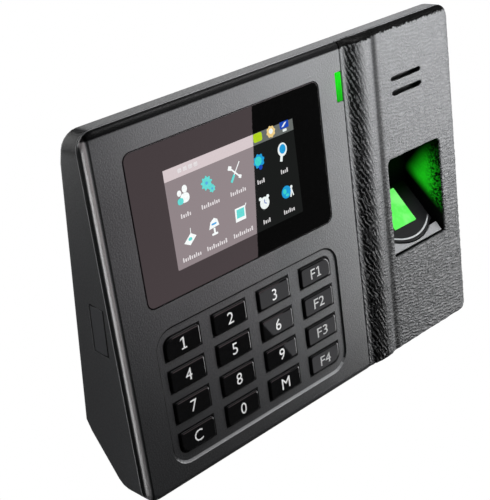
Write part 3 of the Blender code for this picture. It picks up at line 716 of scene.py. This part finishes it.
cover_plastic = leather_look()
well_wall = well_look()
sensor_light = glass_look()
status_green = light_look()
ledge_look = grained("ledge_look", "6a6b6d", 0.42, depth=0.02)
housing_look = housing_shader()
well_dark = grained("well_back_look", "050506", 0.55, depth=0.02, specular=0.1)


def mirror_face(name, dark, light, roughness, rim_specular, rim=None):
    """Glossy black plastic whose flat face mirrors, while its slanted rim stays soft."""
    s = Shader(name)
    smear = s.noise(0.5, 2.0)
    flat = s.ramp(s.facing(-INWARD), 0.93, 0.985)
    tone = s.mix(s.ramp(smear, 0.3, 0.7), linear(dark), linear(light))
    s.set(Base_Color=s.mix(flat, linear(rim or dark), tone),
          Roughness=s.ramp(flat, 0.0, 1.0, 0.45, roughness),
          Specular_IOR_Level=s.ramp(flat, 0.0, 1.0, rim_specular, 0.5),
          Normal=s.bump(smear, 0.002 * MM))
    return s


key_gloss = mirror_face("key_look", "060607", "0a0a0b", 0.035, 0.07)
# The window's slanted rim is painted the pinkish grey of the reflection in its face: a painted
# reflection
window_gloss = mirror_face("window_look", "010101", "020202", 0.012, 0.03, "2e2a2c")

SLOT_LOOKS = {
    "front_plastic": front_plastic, "cover_plastic": cover_plastic, "rear_plastic": rear_plastic,
    "plate_steel": steel, "window_gloss": window_gloss, "display": lcd_dark, "silicone": silicone,
    "board": board, "black_part": black_plastic, "lit_glass": sensor_light,
    "green_lens": status_green, "plated_metal": plated, "flap_rubber": flap_rubber,
    "terminal_plastic": terminal_plastic, "flex": flex_film, "cable": cable_skin,
    "screw_steel": screw_steel, "label": paper("label_look"), "key_gloss": key_gloss,
}
NODE_LOOKS = {"finger_well": well_wall, "well_back": well_dark, "finger_ledge": ledge_look,
              "sensor_housing": housing_look}
USUAL_BEVEL = 0.12
BEVELS = {"front_casing": 0.18, "rear_casing": 0.2, "usb_flap": 0.2, "wall_plate": 0.15,
          "sensor_housing": 0.25, "finger_ledge": 0.15, "status_light": 0.15, "display_window": 0.05}


def finish_nodes():
    """Procedural looks and softened moulded edges for every CAD node that stays in view."""
    for name, node in frame["nodes"].items():
        slot_name = node.data.materials[0].name
        look = NODE_LOOKS.get(name) or SLOT_LOOKS[slot_name]
        node.data.materials[0] = look.material
        node.data.polygons.foreach_set("use_smooth", [True] * len(node.data.polygons))
        weld = node.modifiers.new("weld", "WELD")
        weld.merge_threshold = 2e-6
        flat = node.modifiers.new("flat", "DECIMATE")
        flat.decimate_type = "DISSOLVE"
        flat.angle_limit = math.radians(0.6)
        bevel = node.modifiers.new("edges", "BEVEL")
        bevel.width = BEVELS.get(name, USUAL_BEVEL) * MM
        bevel.segments = 2
        bevel.limit_method = "ANGLE"
        bevel.angle_limit = math.radians(38)
        bevel.harden_normals = True
        even = node.modifiers.new("even", "WEIGHTED_NORMAL")
        even.keep_sharp = True


# ---------------------------------------------------------------- the grained cover

def grain_height(x, z):
    """Height of the leather-like grain, 0 to 1, at a point of the face."""
    x = SEAM + (x - SEAM) / (1 + FLARE * (z / BODY_HEIGHT + 0.5))
    flank = min(1.0, max(0.0, (39.0 - x) / 4.0))
    swing = noise.noise((x * 0.16, 3.1, z * 0.16)) * 1.6 + noise.noise((x * 0.4, 7.7, z * 0.4)) * 0.6

    def creased(along, across):
        return (noise.noise((along * 0.2, 1.3, across * 0.85)) * 0.5
                + noise.noise((along * 0.36, 5.9, across * 1.4)) * 0.45)

    height = 0.5
    if flank < 1:
        height += (1 - flank) * creased(x, z + 0.1 * x + swing)
    if flank > 0:
        height += flank * creased(0.42 * x - z, 0.42 * z + 0.9 * x + swing)
    return height


def make_cover():
    """The sensor cover with its grain as real relief: a fine even mesh of the CAD solid."""
    source = frame["nodes"]["sensor_cover"]
    local = (node_points("sensor_cover") - np.array(ORIGIN)) @ np.array(TURN) / MM
    mesh = bpy.data.meshes.new("grained_cover")
    mesh.from_pydata(local.tolist(), [], [list(p.vertices) for p in source.data.polygons])
    work = bmesh.new()
    work.from_mesh(mesh)
    bmesh.ops.remove_doubles(work, verts=work.verts, dist=0.002)
    work.to_mesh(mesh)
    work.free()
    cover = linked("grained_cover", mesh)
    remesh = cover.modifiers.new("even", "REMESH")
    remesh.mode = "VOXEL"
    remesh.voxel_size = GRAIN_CELL
    graph = bpy.context.evaluated_depsgraph_get()
    fine = bpy.data.meshes.new_from_object(cover.evaluated_get(graph))
    cover.modifiers.clear()
    cover.data = fine
    bpy.data.meshes.remove(mesh)

    low, high = face_box("sensor_cover")
    count = len(fine.vertices)
    flat = np.zeros(count * 3, np.float32)
    fine.vertices.foreach_get("co", flat)
    points = flat.reshape(-1, 3).astype(float)
    fine.vertices.foreach_get("normal", flat)
    normals = flat.reshape(-1, 3).astype(float)
    for i in range(count):
        x, y, z = points[i]
        if normals[i][1] > -0.25 or y > 2.2:
            continue
        level = 0.4 + 0.6 * (high[2] - z) / (high[2] - low[2])
        points[i] += normals[i] * (grain_height(x, z) - 0.5) * GRAIN_DEPTH * level
    world = points * MM @ np.array(TURN).T + np.array(ORIGIN)
    fine.vertices.foreach_set("co", world.astype(np.float32).ravel())
    fine.polygons.foreach_set("use_smooth", [True] * len(fine.polygons))
    fine.materials.clear()
    fine.materials.append(cover_plastic.material)
    fine.update()
    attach(cover, BODY)
    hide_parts("sensor_cover")


# ---------------------------------------------------------------- key legends

LEGENDS = {"key_1": "1", "key_2": "2", "key_3": "3", "key_4": "4", "key_5": "5", "key_6": "6",
           "key_7": "7", "key_8": "8", "key_9": "9", "key_c": "C", "key_0": "0", "key_m": "M",
           "key_f1": "F1", "key_f2": "F2", "key_f3": "F3", "key_f4": "F4"}
INK = 0.03  # how far the print stands off a key's face


def make_legends():
    """The printed characters of the keys."""
    inks = []
    # The inks' faint white glow is painted light that brightens the print
    for name, dark, light, glow in (("digit", "c9c9c9", "dcdcdc", 0.12),
                                    ("letter", "a2a2a2", "b4b4b4", 0.03)):
        ink = Shader(name + "_ink_look")
        speck = ink.noise(3.0, 2.0)
        ink.set(Base_Color=ink.mix(ink.ramp(speck, 0.3, 0.7), linear(dark), linear(light)),
                Roughness=0.45, Emission_Color=linear("ffffff"), Emission_Strength=glow)
        inks.append(ink)
    for node, text in LEGENDS.items():
        low, high = face_box(node)
        cx, cz = (low[0] + high[0]) / 2, (low[2] + high[2]) / 2
        print_at = (low[1] - INK, low[1] + 0.01)
        placed = (inks[len(text) - 1], node + "_cap", "key_gloss")
        name = "legend_" + node[4:]
        if text == "1":
            piece(name, *sheet([figure_one(cx, cz, 4.6)], *print_at), *placed)
        elif text == "F1":
            legend(name + "_letter", "F", cx - 1.6, cz, 4.0, 2.3, *print_at, *placed)
            piece(name + "_figure", *sheet([figure_one(cx + 1.6, cz, 4.0)], *print_at), *placed)
        elif len(text) > 1:
            legend(name, text, cx, cz, 4.0, 5.7, *print_at, *placed)
        else:
            legend(name, text, cx, cz, 4.5, None, *print_at, *placed)


# ---------------------------------------------------------------- the picture on the display

SCREEN = (-62.85, -1.4, 11.3, 47.3)  # left, right, foot and head
TITLE_HEIGHT = 4.15
ICON_COLUMNS = (-55.85, -44.6, -31.7, -20.0, -8.1)
ICON_ROWS = (36.65, 21.15)
CAPTION_ROWS = (29.45, 14.05)
CAPTION_LENGTHS = ((4.9, 8.6, 7.2, 4.2, 4.2), (9.0, 9.2, 9.6, 3.4, 6.0))


def icon_shapes():
    """Every icon part: its name, ink, layer, the icon's middle and its outlines around that middle."""
    head = SCREEN[3]
    people, cogs, tools, globe_cog, lens = [(x, ICON_ROWS[0]) for x in ICON_COLUMNS]
    keys, lamp, tablet, clock, world = [(x, ICON_ROWS[1]) for x in ICON_COLUMNS]
    tab, sun, screen = (-19.2, head), (-12.6, head), (-5.8, head)
    return [
        ("people", "white", 0, people, [disc(0.9, 1.9, 1.15, 16, 1.2), rounded(0.6, -1.2, 4.0, 3.4, 1.5),
                                        disc(-1.6, 1.0, 0.95, 14, 1.15)]),
        ("people_low", "cyan", 1, people, [rounded(-1.5, -1.9, 2.6, 2.3, 1.0)]),
        ("cogs", "cyan", 0, cogs, [cog(-0.5, 0.6, 2.6, 9), cog(1.6, -2.0, 1.5, 7)]),
        ("cogs_hub", "blue", 1, cogs, [disc(-0.5, 0.6, 0.6, 12), disc(1.6, -2.0, 0.4, 10)]),
        ("tools", "white", 0, tools, [bar(-2.4, 2.4, 2.1, -2.2, 0.55), bar(2.5, 3.4, -0.6, -0.6, 0.4),
                                      cog(-2.3, 2.2, 1.0, 4), cog(2.0, -2.0, 0.8, 4)]),
        ("tools_grip", "cyan", 1, tools, [bar(-0.6, -0.6, -2.3, -3.0, 1.0)]),
        ("globe_cog", "blue", 0, globe_cog, [cog(0, 0.4, 2.7, 8, 0.15)]),
        ("globe_cog_light", "cyan", 1, globe_cog, [disc(-0.4, 0.5, 1.7, 16)]),
        ("globe_cog_tail", "deep", 1, globe_cog, [disc(0.4, -2.0, 0.9, 12)]),
        ("lens", "white", 0, lens, [disc(0, 1.0, 2.3, 20, 1.1), bar(-0.6, -0.8, -1.2, -3.2, 1.2)]),
        ("lens_glass", "blue", 1, lens, [disc(0.1, 1.2, 1.6, 18, 1.1)]),
        ("keys", "white", 0, keys, [[(-2.8, -1.4), (-0.2, -2.8), (3.0, -0.2), (0.6, 1.4)],
                                    bar(0.6, 1.2, 0.8, 3.2, 0.25)]),
        ("keys_pad", "cyan", 1, keys, [disc(0.1, -0.6, 0.9, 12, 0.7)]),
        ("lamp", "white", 0, lamp, [[(-2.4, -0.6), (2.4, -0.2), (1.8, 2.2), (0.4, 3.0), (-1.4, 1.9)],
                                    bar(0, -0.6, 0, -2.4, 0.8), rounded(0, -2.8, 2.8, 0.8, 0.3, 2)]),
        ("lamp_slot", "blue", 1, lamp, [rounded(0.1, 0.9, 2.4, 0.7, 0.3, 2)]),
        ("tablet", "white", 0, tablet, [[(-2.8, -2.4), (2.2, -2.4), (2.4, 2.6), (-2.6, 2.6)],
                                        bar(1.4, 0.8, 3.0, 3.2, 0.35)]),
        ("tablet_glass", "cyan", 1, tablet, [[(-2.1, -1.2), (1.6, -1.2), (1.8, 2.0), (-1.9, 2.0)]]),
        ("clock", "white", 0, clock, [disc(0.2, 0, 2.3, 20), disc(-1.7, 2.0, 0.7, 12),
                                      disc(2.0, 2.0, 0.7, 12)]),
        ("clock_hand", "deep", 1, clock, [bar(0.2, -0.1, 0.2, 1.3, 0.3), bar(0.2, 0, 1.1, -0.4, 0.3)]),
        ("world", "blue", 0, world, [disc(-0.5, 0.3, 2.4, 20)]),
        ("world_land", "cyan", 1, world, [rounded(-1.3, 0.7, 1.6, 1.9, 0.6),
                                          rounded(-0.2, -0.9, 1.5, 1.0, 0.4)]),
        ("world_figure", "white", 0, world, [disc(2.2, 1.5, 0.6, 12), bar(2.1, 0.9, 1.5, -2.2, 0.7),
                                             bar(2.1, 0.9, 2.9, -2.0, 0.5)]),
        ("tab", "lime", 0, tab, [rounded(0, -1.7, 4.3, 3.2, 0.8, 3)]),
        ("sun", "yellow", 0, sun, [cog(0, -1.6, 2.2, 8, 0.12)]),
        ("sun_core", "white", 1, sun, [disc(0, -1.4, 1.0, 14)]),
        ("screen", "deep", 0, screen, [rounded(0, -1.0, 4.4, 2.6, 0.3, 2)]),
        ("screen_shine", "white", 1, screen, [[(-1.4, -1.6), (-0.5, -1.6), (1.2, -0.2), (0.2, -0.2)],
                                              rounded(0, -3.0, 2.0, 0.9, 0.3, 2)]),
    ]


def caption_words():
    """Short bars in place of the captions under the icons."""
    words = []
    for z, lengths in zip(CAPTION_ROWS, CAPTION_LENGTHS):
        for middle, length in zip(ICON_COLUMNS, lengths):
            x = middle - length / 2
            step = 0
            while x < middle + length / 2 - 0.4:
                w = (0.75, 0.95, 0.6, 0.85)[step % 4]
                tall = 1.15 + 0.5 * (step % 3 == 0)
                words.append(rounded(x + w / 2, z + tall / 2 - 0.7, w * 0.72, tall, 0.15, 2))
                x += w + 0.18
                step += 1
    return words


def make_screen():
    """The lit picture, in thin layers on the face of the window."""
    left, right, foot, head = SCREEN
    lens = face_box("display_window")[0][1]
    y_back, y_base, y_mid, y_top = lens + 0.01, lens - 0.02, lens - 0.04, lens - 0.06
    tint = (0.85, 1.0, 0.97, 1)
    base = glowing("screen_base_look", "010201", 1.0, "010101", 1.0)
    base.set(Coat_Weight=1.0, Coat_Roughness=LENS_ROUGHNESS, Coat_IOR=2.2, Coat_Tint=tint)
    title = glowing("screen_title_look", "8a8583", 0.95, "050505", 1.0)
    title.set(Coat_Weight=1.0, Coat_Roughness=LENS_ROUGHNESS, Coat_IOR=4.2, Coat_Tint=tint)
    caption = glowing("screen_caption_look", "dedbdc", 0.95, gloss=1.0)
    inks = {name: glowing("icon_" + name + "_look", colour, 1.0, gloss=0.8)
            for name, colour in (("white", "f4fbfa"), ("cyan", "3fd6cf"), ("blue", "1f9fdc"),
                                 ("deep", "1648b8"), ("yellow", "f2d28c"), ("lime", "b6d81e"))}

    def put(name, shapes, y0, y1, look):
        piece(name, *sheet(shapes, y0, y1), look, slot="display")

    middle = ((left + right) / 2, (foot + head) / 2)
    put("screen_base", [rounded(*middle, right - left, head - foot, 0.4, 2)], y_base, y_back, base)
    bar_foot = head - TITLE_HEIGHT
    put("screen_title", [[(left, bar_foot), (right, bar_foot), (right, head), (left, head)]],
        y_mid, y_base - 0.001, title)
    put("title_mark", [rounded(left + 7 + 2.4 * i, head - 2.0, 1.7, 1.5, 0.3, 2) for i in range(4)],
        y_top, y_mid - 0.001, caption)
    for name, ink, raised, (x, z), outlines in icon_shapes():
        placed = [[(x + px, z + pz) for px, pz in outline] for outline in outlines]
        put("icon_" + name, placed, y_top - 0.02 if raised else y_top,
            y_top - 0.001 if raised else y_mid, inks[ink])
    put("screen_captions", caption_words(), y_top, y_mid, caption)


# ---------------------------------------------------------------- stage, light and camera

def stage_material(name, colour, camera_level):
    """A pale matte surface that keeps an even tone for the camera."""
    s = Shader(name)
    path = s.node("ShaderNodeLightPath")
    cloth = s.node("ShaderNodeBsdfDiffuse", Color=linear(colour))
    even = s.node("ShaderNodeEmission", Color=(1, 1, 1, 1), Strength=camera_level)
    dim = s.node("ShaderNodeEmission", Color=(1, 1, 1, 1), Strength=0.05)
    mirrored = s.node("ShaderNodeMixShader", Fac=path.outputs["Is Glossy Ray"],
                      i1=cloth.outputs[0], i2=dim.outputs[0])
    s.show(s.node("ShaderNodeMixShader", Fac=path.outputs["Is Camera Ray"],
                  i1=mirrored.outputs[0], i2=even.outputs[0]))
    return s


FLOOR_DROP = 0.16  # metres from the foot of the terminal down to the floor


def make_floor():
    """A wide pale floor, well below the terminal."""
    z = cad_box[0][2] - FLOOR_DROP
    reach = 6.0
    mesh = bpy.data.meshes.new("floor")
    mesh.from_pydata([(-reach, -reach, z), (reach, -reach, z), (reach, reach, z), (-reach, reach, z)],
                     [], [(0, 1, 2, 3)])
    mesh.materials.append(stage_material("floor_look", "ededed", 1.0).material)
    linked("floor", mesh)


def card(name, corners, colour, strength, limit=None):
    """A glowing card that only shows in reflections. Corners are face-frame millimetres.

    With a limit, only what lies to the left of that x on the face sees it, as if the card had a flag.
    """
    mesh = bpy.data.meshes.new(name)
    mesh.from_pydata([to_world(*p) for p in corners], [], [list(range(len(corners)))])
    s = Shader(name + "_look")
    if limit is not None:
        seen_from = s.node("ShaderNodeNewGeometry").outputs["Incoming"]
        steps = s.over(s.axis(1), s.dot(seen_from, INWARD))
        seen_x = s.minus(s.axis(0), s.times(steps, s.dot(seen_from, RIGHT)))
        strength = s.ramp(seen_x, limit - 1.0, limit, strength, 0.0)
    s.show(s.node("ShaderNodeEmission", Color=linear(colour), Strength=strength))
    mesh.materials.append(s.material)
    made = linked(name, mesh)
    made.visible_camera = False
    made.visible_diffuse = False
    made.visible_shadow = False
    made.visible_transmission = False


CAMERA_AT = (-282.66, -292.04, 166.19)  # in the face frame, as are the two directions
CAMERA_RIGHT = (0.7174, -0.6848, -0.1277)
CAMERA_UP = (0.3509, 0.1968, 0.9155)
FOCAL_LENGTH = 83.98  # with a sensor 36 mm wide


def reflected(x, z, distance):
    """Where the camera sees the point of a card parallel to the face mirrored at (x, z)."""
    share = distance / -CAMERA_AT[1]
    return (x + (x - CAMERA_AT[0]) * share, -distance, z + (z - CAMERA_AT[2]) * share)


def make_cards():
    """The studio as the window, the left edge and the keys mirror it."""
    d = 100.0
    window = [(-84, 62), (-19.6, 62), (-26.6, 1.0), (-84, 1.0)]
    card("card_window", [reflected(x, z, d) for x, z in window], "c4b0b5", 2.45, -17.5)
    card("card_left_edge", [(-138, -30, -105), (-110, -52, -105), (-110, -52, 55), (-138, -30, 55)],
         "ffffff", 9.0, 3.5 - BODY_WIDTH / 2)
    keys = [(-34, -9), (12.5, -9), (12.5, -58), (-9, -58), (-17, -41), (-19.5, -35.4),
            (-25, -29.4), (-31, -20.5)]
    card("card_keys", [reflected(x, z, d) for x, z in keys], "f0f0f4", 0.95)


def area(name, at, target, size, power):
    """An area light at a face-frame point, turned towards another."""
    data = bpy.data.lights.new(name, "AREA")
    data.shape = "RECTANGLE"
    data.size, data.size_y = size[0] * MM, size[1] * MM
    data.energy = power
    made = linked(name, data)
    made.location = to_world(*at)
    aim = to_world(*target) - made.location
    made.rotation_euler = aim.to_track_quat("-Z", "Y").to_euler()
    made.visible_camera = False


def point(name, at, power, radius, colour):
    """A small lamp at a face-frame point."""
    data = bpy.data.lights.new(name, "POINT")
    data.energy = power
    data.shadow_soft_size = radius * MM
    data.color = colour
    made = linked(name, data)
    made.location = to_world(*at)
    made.visible_camera = False
    made.visible_glossy = False


def make_lights():
    """The studio's lights, and the glow of the status light on the casing beside it."""
    area("upper_light", (75, -85, 185), (55, 0, 30), (110, 70), 0.98)
    area("right_light", (185, -92, -50), (65, 0, -35), (70, 230), 0.43)
    area("top_back_light", (260, 300, 230), (0, 0, 60), (300, 260), 0.36)
    area("fill_light", (-560, 20, 90), (-90, 20, 0), (380, 380), 0.36)
    area("back_light", (-200, 520, 160), (0, 20, 0), (420, 420), 3.0)
    point("status_glow", (24.4, -2.4, 52), 0.0004, 1.2, (0.12, 1.0, 0.12))


def make_world():
    """White behind everything for the camera, nearly dark for all other rays."""
    world = bpy.data.worlds.new("studio")
    world.use_nodes = True
    tree = world.node_tree
    back = tree.nodes["Background"]
    path = tree.nodes.new("ShaderNodeLightPath")
    level = tree.nodes.new("ShaderNodeMapRange")
    level.inputs["To Min"].default_value = 0.05
    level.inputs["To Max"].default_value = 1.0
    tree.links.new(path.outputs["Is Camera Ray"], level.inputs["Value"])
    tree.links.new(level.outputs["Result"], back.inputs["Strength"])
    back.inputs["Color"].default_value = (1, 1, 1, 1)
    bpy.context.scene.world = world


def make_camera():
    """The main view."""
    data = bpy.data.cameras.new("camera")
    data.lens = FOCAL_LENGTH
    data.sensor_width = 36
    data.clip_start = 0.01
    made = linked("camera", data)
    right = TURN @ Vector(CAMERA_RIGHT)
    up = TURN @ Vector(CAMERA_UP)
    turn = Matrix((right, up, right.cross(up))).transposed().to_4x4()
    made.matrix_world = Matrix.Translation(to_world(*CAMERA_AT)) @ turn
    bpy.context.scene.camera = made


finish_nodes()
make_cover()
make_legends()
make_screen()
make_floor()
make_cards()
make_lights()
make_world()
make_camera()
bpy.context.scene.view_settings.view_transform = "Standard"
